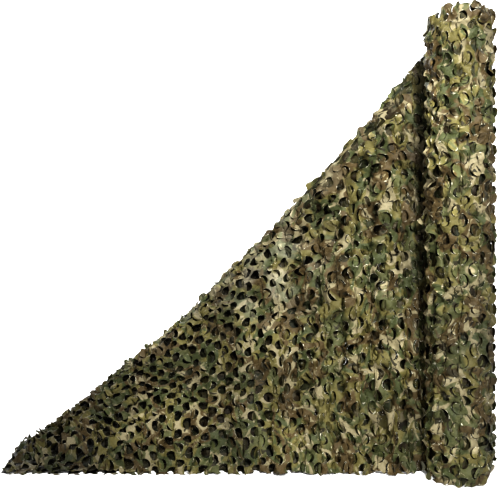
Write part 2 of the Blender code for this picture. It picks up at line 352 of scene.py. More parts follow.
def leafBlades(s, t, facing, size, relief, skew, bend, curl, twist, short):
    # a leaf from its root: rows across it carried along an arc that starts at bend and turns by curl
    root = math.radians(net["rootHalf"])
    across = np.tan(onRoot - np.pi) / math.tan(root)
    down = np.linspace(root, math.radians(net["leafEnd"]), net["leafRows"])
    u = -size[:, None, None] * np.cos(down)[:, None] * np.ones_like(across)
    v = size[:, None, None] * np.sin(down)[:, None] * -across
    far = u + (size * math.cos(root))[:, None, None]
    long = (size * (1.0 + math.cos(root)))[:, None, None]
    flatFar, flatAcross = far, v
    v = v * (1.0 - net["leafNarrow"] * (1.0 - short) * far / long)
    far, long = far * short, long * short
    begin, rate = bend[:, None, None], curl[:, None, None] / long
    rate = np.where(np.abs(rate) < 1e-3, 1e-3, rate)
    along = (np.sin(begin + rate * far) - np.sin(begin)) / rate
    up = (np.cos(begin) - np.cos(begin + rate * far)) / rate
    up = up + twist[:, None, None] * v * far / long
    back = (0.5 * size * (1.0 + math.cos(root)))[:, None, None]
    u, flatV = pulledOutOfTrue(flatFar - back, flatAcross, skew, 1.0)
    moved, v = pulledOutOfTrue(along - back, v, skew, 1.0)
    flat, place = onCloth(s, t, facing, u, flatV), onCloth(s, t, facing, moved, v)
    pale = smoothStep(begin + rate * far, *np.radians(net["paleTurn"]))
    rim = np.zeros_like(up)
    rim[:, 1:, [0, -1]] = 1.0
    rim[:, -1] = 1.0
    return flat, place, rimWave(relief, onRoot)[:, None, :] + up, far / long, pale, rim


def cutFaces(grid, after, facing):
    # faces turned over where the cut faces back
    faces = between(grid, after)
    flip = np.broadcast_to((facing > 0)[:, None, None, None], faces.shape)
    return np.where(flip, faces, faces[..., ::-1]).reshape(-1, 4)


def leafCutNet(length, manner, seed, first=net["first"], short=net["leafShort"]):
    # the whole flat net: flat place, moved place, lift off the cloth and what the material reads, for
    # each point, and the faces; what lies past an edge is drawn back to it and dropped
    rng = np.random.default_rng(seed)
    cell = net["cell"]
    columns, rows = round(length / cell), round(net["width"] / cell)
    s, t, facing, size = cutLattice(columns, rows, first, rng)
    bend, curl, twist, relief, wide = manner(s, t, rng)
    size = size * wide
    skew = net["skew"] * rng.uniform(-1.0, 1.0, (len(s), 2))
    flatR, liftR = ribbonRings(s, t, facing, size, relief, skew)
    count, rings, steps = liftR.shape
    length, width = columns * cell, rows * cell
    atStart, atEdge = net["edgeFree"]
    inside = (s > atStart * cell) & (s < length - atEdge * cell)
    inside &= (t > atEdge * cell) & (t < width - atEdge * cell)
    flatL, placeL, liftL, shareL, paleL, rimL = leafBlades(
        s[inside], t[inside], facing[inside], size[inside], relief[inside], skew[inside],
        bend[inside], curl[inside], twist[inside], short)
    leaves, leafRows, leafColumns = liftL.shape

    flat = np.concatenate([flatR.reshape(-1, 2), flatL.reshape(-1, 2)])
    place = np.concatenate([flatR.reshape(-1, 2), placeL.reshape(-1, 2)])
    lift = np.concatenate([liftR.ravel(), liftL.ravel()])
    noRing = np.zeros(liftR.size)
    pale = np.concatenate([noRing, paleL.ravel()])
    ringRim = np.zeros(liftR.shape)
    ringRim[:, 0] = 1.0
    rim = np.concatenate([ringRim.ravel(), rimL.ravel()])
    tint = rng.uniform(1.0 - net["tint"], 1.0 + net["tint"], count)
    shade = np.concatenate([np.ones(liftR.size), np.repeat(tint[inside], leafRows * leafColumns)])
    shade *= 1.0 + net["tipLight"] * smoothStep(np.concatenate([noRing, shareL.ravel()]), 0.5, 1.0)

    ring = np.arange(liftR.size).reshape(count, rings, steps)
    ringFaces = cutFaces(ring, np.roll(ring, -1, axis=2), facing)
    blade = liftR.size + np.arange(liftL.size).reshape(leaves, leafRows, leafColumns)
    bladeFaces = cutFaces(blade[:, :, :-1], blade[:, :, 1:], facing[inside])
    faces = np.concatenate([ringFaces, bladeFaces])

    flat = np.clip(flat, 0.0, [length, width])
    ringPart = np.arange(len(flat)) < liftR.size
    place[ringPart] = flat[ringPart]
    corner = flat[faces]
    area = 0.5 * np.abs(np.cross(corner[:, 2] - corner[:, 0], corner[:, 3] - corner[:, 1]))
    faces = faces[area > net["leastFace"]]
    kinds = {"shade": shade, "pale": pale, "rim": rim, "leaf": (~ringPart).astype(float)}
    return {"flat": flat, "place": place, "lift": lift, "faces": faces, **kinds}


def drawnAbout(place, seed, depth):
    # the flat net is pulled a little this way and that, so that its rows of cuts aren't straight;
    # its two edges stay where they are
    pitches, held = (0.13, 0.34), 0.08
    s, t = place.T
    moved = np.stack([crossingWaves(s, t, 1.0, kind, *pitches) for kind in (seed, seed + 1)], axis=-1)
    edge = smoothStep(t, 0.0, held) * fadeOut(t, net["width"] - held, net["width"])
    return place + depth[:, None] * moved * np.stack([np.ones_like(edge), edge], axis=-1)


# the wound part: a slow spiral, s counted back from where the loose end leaves

roll = {
    "radius": 0.1030,  # outermost turn, where the loose end leaves it
    "rise": 0.0035,  # one turn to the next
    "cellsRound": 11,
    "turnsShown": 2,
    "under": (0.98, 1.05),  # the turn below begins so many turns back: a range
    "underDrop": 0.0055,  # it lies this much deeper than the rise
    "underRun": (1.0, 1.12),  # and goes down there over this range, in turns
    "underFlat": 0.8,  # its leaves stand off this much less
    "underShade": 0.30,  # it is this light, with the outer turn at 1
    "side": (0.694, 0.06),  # the edge seen on the far side: where, as a share of a time round, spread
    "sideKept": 0.8,  # there the turn below goes down this much less
    "sideFlat": 0.7,  # the crumples are this much less high
    # painted shade and light: the far side is darker, and by the loose end it is lighter: how much,
    # where, spread
    "flanks": ((-0.52, 0.694, 0.14), (0.15, 0.26, 0.06)),
    # and broad bands of lighter and darker: how much, height, spread
    "bands": ((-0.26, 0.44, 0.17), (0.13, 1.10, 0.19)),
    "endIn": 0.008,  # both ends are a little narrower
    "endRun": 0.035,
    "ragged": ((0.005, 0.047, 0.0), (0.004, 0.11, 1.0)),  # upper edge: waves' height, pitch, phase
    "topRun": 0.25,  # its unevenness goes down this far
    # the outer turn sags beside the loose end, is drawn up at the foot on the far side, and stands
    # out at the foot by the loose end: how much, where, spread; the last two up to a height
    "shoulder": (0.014, 0.265, 0.085),
    "foot": (0.036, 0.71, 0.10),
    "footRun": 0.16,
    "flap": (0.013, 0.29, 0.03),
    "flapRun": 0.07,
    "drawn": 0.006,  # how far the rows of cuts are pulled about
    "joinRun": 0.10,  # not so near the loose end
    # crumples: height, seed, shortest and longest pitch
    "crumples": ((0.0044, 82, 0.038, 0.085), (0.0010, 84, 0.020, 0.036)),
    # its leaves
    "seed": 41,
    "outward": 0.42,  # share of leaves that stand out; the rest are pushed in
    "in": (18.0, 56.0),  # degrees
    "out": (12.0, 38.0),
    "atSide": (17.0, 31.0),  # where the roll's edge is seen, all stand out and show their round
    "curl": 60.0,  # degrees
    "curlOut": (1.2, -0.8),  # share of it, at random, plus a fixed share: leaves that stand out
    "curlIn": (0.8, 0.1),  # and those pushed in
    "twist": 0.4,
    "relief": 0.0068,
    "wide": 1.03,
    "light": 0.04,  # painted light: a leaf is this much lighter than the cloth round it
    "freeFrom": (0.1, 0.2),  # share of a turn from the inner edge where leaves come free: a range
}
turnLength = roll["cellsRound"] * net["cell"]


def roundBell(s, height, where, spread):
    # a bell curve round the roll, once in each turn
    return bell(s / turnLength % 1.0, height, where, spread)


def windTurn(s, t):
    # a spiral: the angle goes once round in a turn's length, the radius falls by one rise
    turn = s / turnLength
    angle = 2.0 * np.pi * (turn + 0.25)
    end = np.minimum(t, net["width"] - t) / roll["endRun"]
    radius = roll["radius"] + roll["rise"] * turn - roll["endIn"] * fadeOut(end, 0.0, 1.0)
    bySide = roundBell(s, 1.0, *roll["side"])
    below = smoothStep(-turn, *roll["underRun"])
    radius = radius - roll["underDrop"] * below * (1.0 - roll["sideKept"] * bySide)
    outerTurn = turn > -1.0
    radius = radius + roundBell(s, *roll["flap"]) * outerTurn * fadeOut(t, 0.0, roll["flapRun"])
    ragged = sum(high * np.sin(2 * np.pi * s / pitch + phase) for high, pitch, phase in roll["ragged"])
    top = smoothStep(t, net["width"] - roll["topRun"], net["width"])
    top = top * (ragged + 0.002 - roundBell(s, *roll["shoulder"]))
    z = t + top + fadeOut(t, 0.0, roll["footRun"]) * roundBell(s, *roll["foot"])
    return roundAxis(radius, angle, z)


def roundManner(s, t, rng):
    # on the roll the leaves are a little in or a little out, because the next turn is close below
    count = len(s)
    fromEdge, toEdge = roll["freeFrom"]
    free = smoothStep(s, fromEdge * turnLength, toEdge * turnLength)
    lifted = rng.uniform(0.0, 1.0, count) < roll["outward"]
    pick = rng.uniform(0.0, 1.0, (2, count))
    inner = roll["in"][0] + (roll["in"][1] - roll["in"][0]) * pick[0]
    outer = roll["out"][0] + (roll["out"][1] - roll["out"][0]) * pick[0] ** 1.3
    bend = np.radians(np.where(lifted, outer, -inner))
    furled = [much * pick[1] + least for much, least in (roll["curlOut"], roll["curlIn"])]
    curl = np.radians(roll["curl"]) * np.where(lifted, *furled)
    twist = roll["twist"] * rng.uniform(-1.0, 1.0, count)
    relief = roll["relief"] * rng.uniform(-0.8, 1.0, (count, 3))
    side = np.abs((s / turnLength) % 1.0 - roll["side"][0]) < 0.05
    low, high = roll["atSide"]
    bend = np.where(side, np.radians(low + (high - low) * pick[0]), bend)
    curl = np.where(side, 0.3 * pick[1], curl)
    relief[side] *= 0.3
    twist = np.where(side, 0.0, twist)
    relief[:, 2] = rng.uniform(0.0, 2 * np.pi, count)
    held = 0.2 + 0.8 * free
    return bend * held, curl * free, twist * free, relief, np.full(count, roll["wide"])


def roundSheet():
    # the two outer turns: the spiral, lifted along its normal by leaves, rims and crumples
    length = turnLength * roll["turnsShown"]
    cloth = leafCutNet(length, roundManner, roll["seed"])
    place = cloth["place"] - [length, 0.0]
    under = smoothStep(-place[:, 0] / turnLength, *roll["under"])
    join = fadeOut(place[:, 0], -roll["joinRun"], 0.0)
    place = drawnAbout(place, 81, roll["drawn"] * (1.0 - under) * join)
    s, t = place.T
    lift = cloth["lift"] * (1.0 - roll["underFlat"] * under)
    bySide = roundBell(s, 1.0, *roll["side"])
    waves = sum(crossingWaves(s, t, *kind) for kind in roll["crumples"])
    lift += (1.0 - under) * (1.0 - roll["sideFlat"] * bySide) * waves
    # painted shade and light on the roll: the far side darker, lighter by the loose end, the turn below
    # darker, leaves lighter; then broad bands of lighter and darker
    for kind in roll["flanks"]:
        cloth["shade"] *= 1.0 + roundBell(s, *kind)
    for kind in roll["bands"]:
        cloth["shade"] *= 1.0 + bell(t, *kind)
    onLeaf = 1.0 + roll["light"] * cloth["leaf"]
    cloth["shade"] *= (1.0 - (1.0 - roll["underShade"]) * under) * onLeaf
    points = offSurface(windTurn, place, lift, -1.0)
    cloth["uv"] = cloth["flat"]
    obj = meshFrom("netRollTurns", points, cloth["faces"], cloth)
    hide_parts("net_roll")


# the turns below: a closed body, and the edges of the wound cloth at both ends

core = {
    "radius": 0.0865,
    "bottom": 0.030,
    "top": 1.448,
    "bump": 0.0012,
    "shade": 0.22,  # it is this light
    "edgeShade": 0.85,  # and the cloth edges in its ends are this light
    "inner": 0.010,  # radius at which the spiral of edges begins
    "pitch": 0.0046,  # one turn of it to the next
    "step": 0.0055,  # from point to point along it
    "strip": 0.026,  # how far the strip of cloth reaches past the body
    "scallop": (0.006, 0.6),  # where cuts run out through it: height, and how round
    "waver": (0.003, 0.043),  # a slow wave of its height: how much, metres to a radian
    "fray": 0.002,
    "hollow": 0.010,  # the spiral lies this much deeper in the middle
    "lean": (0.0013, 0.017, 0.0006, 1.6),  # sideways: how much, metres to a radian, at random, share
}


def coreBody():
    # a bumpy cylinder with both ends drawn in to a point
    around, up = 72, 96
    turn = 2 * np.pi * np.arange(around) / around
    z = np.linspace(core["bottom"], core["top"], up)
    a, b = np.meshgrid(turn, z, indexing="ij")
    bumps = core["bump"] * np.sin(11 * a + 9.0 * np.sin(7.0 * b))
    bumps = bumps * np.sin(2 * np.pi * b / net["cell"] + 2.0 * np.sin(3 * a))
    radius = core["radius"] + bumps
    side = roundAxis(radius, a, b)
    closed = [0.02, 0.02, 1.0]
    skin = np.concatenate([side[:, :1] * closed, side, side[:, -1:] * closed], axis=1)
    index = np.arange(skin.shape[0] * skin.shape[1]).reshape(skin.shape[:2])
    after = np.roll(index, -1, axis=0)
    faces = between(index, after).reshape(-1, 4)
    cloth = np.stack([a * core["radius"], b], axis=-1)
    cloth = np.concatenate([cloth[:, :1], cloth, cloth[:, -1:]], axis=1)
    return skin.reshape(-1, 3), faces, cloth.reshape(-1, 2), np.zeros(index.size)


def endTurns(upper, seed):
    # a strip on edge along a spiral; its outer edge is scalloped where cuts run out through it
    rng = np.random.default_rng(seed)
    outer, inner = core["radius"], core["inner"]
    long = np.pi * (outer ** 2 - inner ** 2) / core["pitch"]
    along = np.linspace(0.0, 1.0, int(long / core["step"]))
    radius = np.sqrt(inner ** 2 + along * (outer ** 2 - inner ** 2))
    turns = (outer - inner) / core["pitch"]
    angle = 2 * np.pi * turns * (radius - inner) / (outer - inner)
    run = along * long
    high, roundness = core["scallop"]
    ragged = high * np.abs(np.sin(np.pi * run / (0.5 * net["cell"]))) ** roundness
    high, pace = core["waver"]
    ragged = ragged + high * np.sin(run / pace) + rng.uniform(-core["fray"], core["fray"], len(run))
    hollow = core["hollow"] * (1.0 - radius / outer)
    across = np.linspace(0.0, 1.0, 4)
    much, pace, uneven, share = core["lean"]
    wobble = much * np.sin(run / pace) + rng.uniform(-uneven, uneven, len(run))
    height = core["strip"] - hollow + ragged
    z = across[None, :] * height[:, None]
    r = radius[:, None] + wobble[:, None] * across[None, :] ** 2 * share
    if upper:
        z = core["top"] - 0.002 + z
    else:
        turned = (angle / (2.0 * np.pi) - 0.25) % 1.0
        lift = bell(turned, *roll["foot"])
        z = core["bottom"] + 0.002 - np.minimum(z, np.maximum(core["bottom"] - lift, 0.0)[:, None])
    points = roundAxis(r, angle[:, None], z)
    index = np.arange(z.size).reshape(z.shape)
    faces = between(index[:-1], index[1:]).reshape(-1, 4)
    cloth = np.stack([np.broadcast_to(run[:, None], z.shape), z], axis=-1)
    toEdge = np.broadcast_to(across[None, :] ** 2, z.shape)
    return points.reshape(-1, 3), faces, cloth.reshape(-1, 2), toEdge.reshape(-1)


def rollCore():
    # the body and both spirals as one mesh, in painted shade that grows lighter towards the cloth's
    # edges, where painted light also makes them pale with a rim highlight
    parts = [coreBody(), endTurns(True, 51), endTurns(False, 52)]
    start = np.cumsum([0] + [len(part[0]) for part in parts])
    faces = np.concatenate([part[1] + start[k] for k, part in enumerate(parts)])
    points, cloth, toEdge = [np.concatenate([part[k] for part in parts]) for k in (0, 2, 3)]
    shade = core["shade"] + (core["edgeShade"] - core["shade"]) * toEdge
    values = {"uv": cloth, "shade": shade, "pale": 0.5 * toEdge, "rim": toEdge}
    meshFrom("netRollCore", points, faces, values)


# the loose end as it stands: the same folds as its solid

fold = {
    "length": 1.625,  # along the cloth's own run, from the roll to the free edge
    "thick": 0.003,
    "skin": 0.1053,  # radius at which it lies on the roll
    "startGap": 0.0025,
    "hemTouch": 0.066,  # the hem stays on the roll this far
    "hemEase": 0.012,  # softness of its bend on to the floor line
    "floorRun": 1.494,  # from the roll's axis to the far corner
    "floorY": 0.035,  # line of the hem on the floor
    "ridgeReach": 1.52,  # where the slanting fold would meet the floor
    "ridgeCurve": 1.18,  # above 1, the fold sags below a straight line
    "ridgeSag": 0.024,  # further sag of its upper part
    "ridgeRise": 0.024,  # and a slight swell before the tip
    "ridgeRiseFrom": 1.02,
    "ridgeShear": 0.05,  # the fold runs ahead of the hem in the middle
    "ridgeBack": 0.42,  # how far the fold stands behind the roll
    "ridgeTurn": 0.50,  # the distance in which it goes back
    "edgeBow": 0.028,  # the free edge bows out this far
    "foldAtTip": 0.45,  # flat height of the fold at the free edge
    "foldClimb": 0.77,  # it rises this much to the roll
    "foldSteep": 0.28,  # and this much more right beside it
    "foldSteepRun": 0.12,
    "round": 0.055,  # how round the turn over the fold is
    "frontSoft": 0.02,
    "gather": 0.80,  # the leaf behind hangs this much shorter
    "lean": (6.0, 12.0, 66.0),  # its degrees from plumb: in the middle, added by the roll, at the tip
    "blendFold": (-0.30, -0.03),  # metres past the fold where the leaf passes into the turn: a range
    "blendRoll": (0.0, 0.35),  # and the same from the roll
    "creasePitch": 0.135,  # upright creases in front
    "creaseDepth": 0.007,
    "creaseLeast": 0.002,
    "creaseOver": ((0.06, 0.25), (0.55, 1.1)),  # metres from the roll where they come in and go out
    "creaseBelow": 0.20,  # they fade out in this distance below the fold
    "creaseDrift": (1.3, 2.1, 0.6, 0.4),  # their phase drifts with height: how far, rate, starts
    "hangPitch": 0.21,  # longer folds behind
    "hangDepth": 0.016,
    "hangIn": (0.05, 0.45),  # metres past the fold where they come in: a range
}


def runOut(s):
    # distance over the floor for a length of cloth
    return fold["startGap"] + s * fold["floorRun"] / fold["length"]


def foldHeight(s):
    # steep beside the roll, then an even slope to the tip
    steep = fold["foldSteep"] * np.exp(-s / fold["foldSteepRun"])
    return fold["foldAtTip"] + fold["foldClimb"] * (1.0 - s / fold["length"]) + steep


def foldPlace(s, t):
    # how far past the slanting fold, square to it, and the s of the fold's nearest point
    slope = fold["foldClimb"] / fold["length"]
    square = 1.0 / math.sqrt(1.0 + slope * slope)
    past = (t - foldHeight(s)) * square
    return past, s - past * slope * square


def hemLine(s):
    # round the roll, off it at a tangent, and on to a straight line along the floor
    run, skin, touch = runOut(s), fold["skin"], fold["hemTouch"]
    leave = math.sqrt(skin * skin - touch * touch)
    tangent = leave - touch / leave * (run - touch) - fold["floorY"]
    eased = fold["floorY"] + 0.5 * (tangent + np.sqrt(tangent * tangent + fold["hemEase"] ** 2))
    circle = np.sqrt(np.maximum(skin * skin - run * run, 0.0))
    return np.stack([-run, np.where(run < touch, circle, eased), np.zeros_like(s)], axis=-1)


def ridgeLine(s):
    # the slanting fold in the air, sagging a little and going back behind the roll
    run = runOut(s) + fold["ridgeShear"] * arch(s / fold["length"])
    y = fold["skin"] + fold["ridgeBack"] * (1.0 - np.exp(-((run / fold["ridgeTurn"]) ** 2)))
    z = net["width"] * np.clip(1.0 - run / fold["ridgeReach"], 0.0, None) ** fold["ridgeCurve"]
    z += fold["ridgeRise"] * arch(2.0 * (run - fold["ridgeRiseFrom"])) - fold["ridgeSag"] * arch(run)
    return np.stack([-run, y, z], axis=-1)


def frontLeaf(s, t):
    # straight lines from the hem to the fold; the free edge bows out between them
    up = t / foldHeight(s)
    hem = hemLine(s)
    place = hem + up[:, None] * (ridgeLine(s) - hem)
    place[:, 0] -= fold["edgeBow"] * arch(up) * smoothStep(s, 1.2, fold["length"])
    return place


def turnedLeaf(foot, past):
    # a leg down the front and one down the back, square to the fold, joined by a hyperbola's round turn
    step = 0.01
    along = unit(ridgeLine(foot + step) - ridgeLine(foot - step))
    ridge = ridgeLine(foot)
    plumb = np.array([0.0, 0.0, -1.0])
    down = unit(plumb - (along @ plumb)[:, None] * along)
    back = np.cross(down, along)
    back = back * np.sign(back[:, 1:2])
    toHem = hemLine(foot) - ridge
    toHem = toHem - np.sum(toHem * along, axis=1, keepdims=True) * along
    frontLeg = unit(toHem + fold["frontSoft"] * down)
    middle, byRoll, byTip = fold["lean"]
    lean = middle + byRoll * fadeOut(foot, 0.0, 0.5)
    lean = np.radians(lean + byTip * smoothStep(foot, 0.75, fold["length"]))[:, None]
    backLeg = fold["gather"] * (np.cos(lean) * down + np.sin(lean) * back)
    reach = np.sqrt(past * past + fold["round"] ** 2)
    before, after = 0.5 * (reach - past)[:, None], 0.5 * (reach + past)[:, None]
    apex = 0.5 * fold["round"] * (frontLeg + backLeg)
    return ridge - apex + before * frontLeg + after * backLeg


def creases(s, t, foot, past):
    # upright creases near the roll, longer ones hanging behind: sine waves of slowly drifting phase
    depth = fold["creaseDepth"] * within(s, *fold["creaseOver"])
    depth = (depth + fold["creaseLeast"]) * smoothStep(-past, 0.02, fold["creaseBelow"])
    depth = depth * smoothStep(s, 0.06, 0.20)
    much, rate, start, shift = fold["creaseDrift"]
    drift = much * np.sin(rate * t + start)
    upright = depth * np.sin(2 * np.pi * s / fold["creasePitch"] + drift + shift)
    hang = fold["hangDepth"] * smoothStep(past, *fold["hangIn"])
    return upright + hang * np.sin(2 * np.pi * foot / fold["hangPitch"] + 2.2 * past)


def drape(s, t):
    # (s, t) of the flat net to its place: the front leaf, blended over the fold into the leaf behind
    past, foot = foldPlace(s, t)
    front = frontLeaf(s, t)
    near = smoothStep(past, *fold["blendFold"]) * smoothStep(s, *fold["blendRoll"])
    near = np.where(past > 0.0, 1.0, near)[:, None]
    place = front + near * (turnedLeaf(foot, past) - front)
    place[:, 1] += creases(s, t, foot, past)
    place[:, 2] = np.maximum(place[:, 2], 0.5 * fold["thick"])
    return place


# the loose end's cloth: small folds, leaves, hem and shades; lengths are metres, leaves' turns degrees
# uneven waves are given as their height, seed, shortest and longest pitch

loose = {
    "seed": 21,
    "clothLength": 1.75,  # flat net in it: a whole number of cells
    "crowded": 0.2,  # by the roll its cuts stand this much closer, drawn in by folds
    "crowdedOver": ((0.0, 0.10), (0.50, 0.85)),  # ranges where that begins and ends, from the roll
    "free": (0.04, 0.2),  # where leaves and crumples come free of the roll: a range
    "drawn": 0.0045,  # how far the rows of cuts are pulled about
    "byFold": (-0.26, -0.06),  # just below the fold, measured past it: a range
    "byTip": (0.85, 1.25),  # towards the far corner: a range
    # small folds
    "depth": 0.0095,
    "pitch": 0.056,
    "upright": ((0.05, 0.16), (0.42, 0.66)),  # upright ones, from the roll
    "uprightShare": 0.65,  # of the depth
    "slant": ((-0.24, -0.05), (-0.01, 0.10)),  # slanting ones, measured past the fold
    "slantTip": (0.95, 1.3),  # they spread over the far corner
    # their phase wanders: depth, pitch and start of one wave, depth and rate of another
    "uprightWander": (1.8, 0.43, 1.0, 0.9, 11.0),
    "slantWander": (1.6, 0.37, 0.0, 0.8, 13.0),
    "crest": 0.05,  # to each side of the fold it has bumps of its own
    "crestBumps": (0.0040, 68, 0.036, 0.075),
    "crestLow": 0.011,  # and dips in two places
    "crestDips": ((1.0, 0.80, 1.02), (0.8, 1.25, 1.45)),
    "takenUp": 0.045,  # flat cloth taken up over the fold
    "takenFold": (-0.26, 0.10),
    # crumples: their second value is the height added where the cloth is rough
    "crumples": ((0.0028, 0.0026, 62, 0.042, 0.09), (0.0010, 0.0013, 64, 0.020, 0.036)),
    "broad": (1.0, 67, 0.24, 0.55),
    "broadHeight": 0.006,
    # leaves
    "ajar": (14.0, 46.0),  # pushed in, near the roll
    "open": (40.0, 112.0),  # and far from it
    "ajarTo": (0.50, 0.80),  # where the one passes into the other: a range
    "pushFold": 0.9,  # by the fold, near the roll, pushed in this much further
    "lifted": (16.0, 62.0),  # standing out instead
    # share that stands out: near the roll, added far from it, added by the tip; the same by the fold
    "outward": (0.32, -0.20, 0.22),
    "outwardFold": (0.26, -0.12),
    "outwardCrest": 0.95,
    "crestAt": (1.0, 0.01, 0.07),  # how much, middle, spread
    "hollow": ((0.02, 0.05), (0.12, 0.18), (0.65, 0.95)),  # beside the roll: ranges in, out, and up
    "hollowLift": (0.4, 22.0),  # there more stand out, and further
    "curl": 55.0,
    "furl": (1.5, 0.9, 0.7, 0.4),  # share of it: standing out, pushed in, added far off; less this
    "twist": 0.6,
    "unruly": 0.9,  # how much more the leaves curl and twist near the roll
    "relief": 0.0048,
    "wide": (1.0, 1.04),  # the cuts stand more open where the net is spread
    "wideTo": (0.3, 0.8),
    # the hem: bites out of it, bits that lie out over the floor, and the whole a little forward; how
    # much of the first two, and how high their waves are where they come in: a range
    "bite": (0.007, 0.2, 2.4),
    "biteWave": (1.5, 63, 0.03, 0.12),
    "flare": (0.009, -0.4, 1.4),
    "flareWave": (1.0, 66, 0.03, 0.12),
    "hemRun": 0.030,
    "forward": 0.009,
    "forwardRun": 0.20,
    # shades: the hollow beside the roll, the far corner's heap of folds, a broad dip, broad waves
    "hollowShade": (0.55, 0.3, 0.35, 0.85),  # how much, share of it low down, and up to where
    "hollowOut": (0.10, 0.20),
    "hollowWave": (0.025, 69, 0.10, 0.40),
    "tipShade": (0.50, 1.02, 1.52),
    "midShade": (0.24, 0.79, 0.08),  # how much, where, how far it spreads
    "broadShade": (0.13, 0.07, 1.4),  # how much, less near the roll, and the waves' limit
    # painted sheen: a paler patch below the fold, and a paler crest, laid in the reverse's colour
    "reverseAndPaintedSheen": (0.63, 0.76, 0.15),  # where along and up, and its spread
    "paintedSheenShare": 0.75,
    "paintedSheenCrest": (0.36, -0.03, 0.07),  # how much, middle, spread
    "paintedSheenOver": ((0.15, 0.4), (1.0, 1.35)),
    "paintedSheenWave": (1.0, 65, 0.07, 0.18),
}


def crowdedLength(s):
    # how much flat cloth lies in the loose end's first s metres: s plus the crowding summed up to there
    steps = np.linspace(0.0, fold["length"], 400)
    dense = loose["crowded"] * within(steps, *loose["crowdedOver"])
    run = np.concatenate([[0.0], np.cumsum(0.5 * (dense[1:] + dense[:-1]) * np.diff(steps))])
    return s + np.interp(s, steps, run)


def drawnIn(s):
    # the other way: from the flat cloth's s to its place along the loose end
    steps = np.linspace(0.0, fold["length"], 400)
    flat = crowdedLength(steps)
    return np.interp(s, flat * loose["clothLength"] / flat[-1], steps)


def foldWaves(x, along, wander):
    # a sine wave over x, whose phase wanders with two slower waves along the other way
    deep, pitch, start, second, rate = wander
    phase = deep * np.sin(2 * np.pi * along / pitch + start) + second * np.sin(rate * along)
    return np.sin(2 * np.pi * x / loose["pitch"] + phase)


def gathers(s, t):
    # the cloth is drawn up in small folds: upright ones by the roll, others along the slanting fold and
    # over the far corner; on the fold itself there are bumps and dips
    past, foot = foldPlace(s, t)
    byRoll = within(s, *loose["upright"])
    byFold = within(past, *loose["slant"])
    byTip = smoothStep(s, *loose["slantTip"])
    byFold = np.maximum(byFold, byTip * smoothStep(t, 0.03, 0.12))
    upright = foldWaves(s, t, loose["uprightWander"])
    slanting = foldWaves(past, foot, loose["slantWander"]) * smoothStep(s, 0.03, 0.25)
    both = loose["uprightShare"] * byRoll * upright * (1.0 - 0.6 * byFold) + byFold * slanting
    onCrest = bell(past, 1.0, 0.0, loose["crest"])
    dips = sum(much * smoothStep(foot, low, top) for much, low, top in loose["crestDips"])
    bumps = crossingWaves(s, t, *loose["crestBumps"]) - loose["crestLow"] * dips
    bumps = bumps * onCrest * smoothStep(s, 0.05, 0.25)
    return loose["depth"] * both * (1.0 - 0.5 * byFold * (1.0 - byTip)) * (1.0 - 0.4 * onCrest) + bumps


def looseManner(s, t, rng):
    # leaves are pushed well in far from the roll, stand ajar near it, and are lifted here and there,
    # more often along the fold, where they are kept low
    count = len(s)
    s = drawnIn(s)
    past, _ = foldPlace(s, t)
    byFold = smoothStep(past, *loose["byFold"])
    onCrest = bell(past, *loose["crestAt"])
    byTip = smoothStep(s, *loose["byTip"])
    uneven = 0.06 * rng.normal(size=count)
    far = smoothStep(s + uneven, *loose["ajarTo"]) * (1.0 - 0.15 * byFold)
    share, farOff, atTip = loose["outward"]
    outward = (share + farOff * far + atTip * byTip) * (1.0 - byFold)
    share, farOff = loose["outwardFold"]
    outward = outward + (share + farOff * far) * byFold
    outward = outward + (loose["outwardCrest"] - outward) * onCrest
    begin, end, up = loose["hollow"]
    byHollow = within(s, begin, end) * fadeOut(t, *up)
    outward = outward + loose["hollowLift"][0] * byHollow
    lifted = rng.uniform(0.0, 1.0, count) < outward
    pick = rng.uniform(0.0, 1.0, (3, count))
    inner = [low + (high - low) * pick[0] for low, high in (loose["ajar"], loose["open"])]
    push = loose["pushFold"] * byFold * (1.0 - onCrest) * (1.0 - far)
    inner = (inner[0] + (inner[1] - inner[0]) * far) * (1.0 + push)
    low, high = loose["lifted"]
    outer = low + (high - low) * pick[1] ** 1.6 * (1.0 - 0.4 * byFold)
    outer = outer * (1.0 - 0.6 * onCrest) + loose["hollowLift"][1] * byHollow
    sign = np.where(lifted, 1.0, -1.0)
    bend = np.radians(np.where(lifted, outer, inner)) * sign
    slack = np.maximum(fadeOut(s, *loose["ajarTo"]), 0.7 * byTip)
    unruly = 1.0 + loose["unruly"] * slack * (1.0 - byFold)
    out, into, farOff, less = loose["furl"]
    furled = pick[2] * np.where(lifted, out, into + farOff * far) - less
    curl = np.radians(loose["curl"] * furled) * sign
    curl = curl * (1.0 - 0.5 * byFold - 0.4 * onCrest)
    twist = loose["twist"] * rng.uniform(-1.0, 1.0, count) * unruly * (1.0 - 0.7 * onCrest)
    relief = loose["relief"] * rng.uniform(-1.0, 1.0, (count, 3)) * [-1.0, 0.7, 0.0]
    relief[:, :2] *= (unruly * (1.0 - bell(past, 0.6, 0.02, 0.08)))[:, None]
    relief[:, 0] += 0.4 * loose["relief"] * -sign
    relief[:, 2] = rng.uniform(0.0, 2 * np.pi, count)
    near, away = loose["wide"]
    return bend, curl, twist, relief, near + (away - near) * smoothStep(s, *loose["wideTo"])


def raggedHem(s, t):
    # up: the upper part of uneven waves, as bites; forward: other waves, as bits, and the whole a little
    none = np.zeros_like(s)
    high, low, top = loose["bite"]
    atHem = fadeOut(t, 0.0, loose["hemRun"])
    up = high * smoothStep(crossingWaves(s, none, *loose["biteWave"]), low, top) * atHem
    out, low, top = loose["flare"]
    bits = smoothStep(crossingWaves(s, none, *loose["flareWave"]), low, top)
    bits = bits * smoothStep(s, 0.08, 0.16)
    forward = loose["forward"] * smoothStep(s, 0.10, 0.3) * fadeOut(t, 0.0, loose["forwardRun"])
    return up, out * bits * atHem + forward


